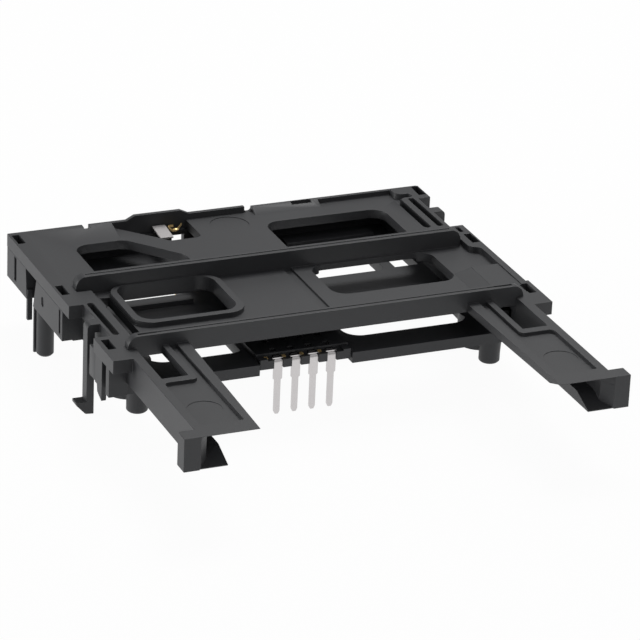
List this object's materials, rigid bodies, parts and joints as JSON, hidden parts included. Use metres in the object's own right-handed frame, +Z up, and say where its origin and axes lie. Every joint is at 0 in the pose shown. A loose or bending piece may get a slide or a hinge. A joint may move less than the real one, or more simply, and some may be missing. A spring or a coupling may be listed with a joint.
{
  "type": "smart card socket",
  "caption": "Low black card socket with two long guide arms, an open windowed deck, snap hooks, board pegs and sprung contacts whose tails go through the board.",
  "frame": {"origin": "on the board's top face, midway between the guide arms and level with the middle side slots", "axes": "+X across the card to the right, +Y the way the card goes in, +Z up out of the board"},
  "size_m": [0.0642, 0.0682, 0.0146],
  "materials": {
    "cover_plastic": "matte black moulded",
    "base_plastic": "matte black moulded",
    "contact_metal": "satin tin plate over copper alloy",
    "blade_metal": "bright rolled strip",
    "gold_metal": "gold plate over copper alloy"
  },
  "bodies": {
    "root": {"cover_frame": "cover_plastic", "base_frame": "base_plastic", "front_contact_1": "contact_metal", "front_contact_2": "contact_metal", "front_contact_3": "contact_metal", "front_contact_4": "contact_metal", "rear_contact_1": "contact_metal", "rear_contact_2": "contact_metal", "rear_contact_3": "contact_metal", "rear_contact_4": "contact_metal", "switch_blade": "blade_metal", "switch_contact": "gold_metal"}
  },
  "joints": []
}
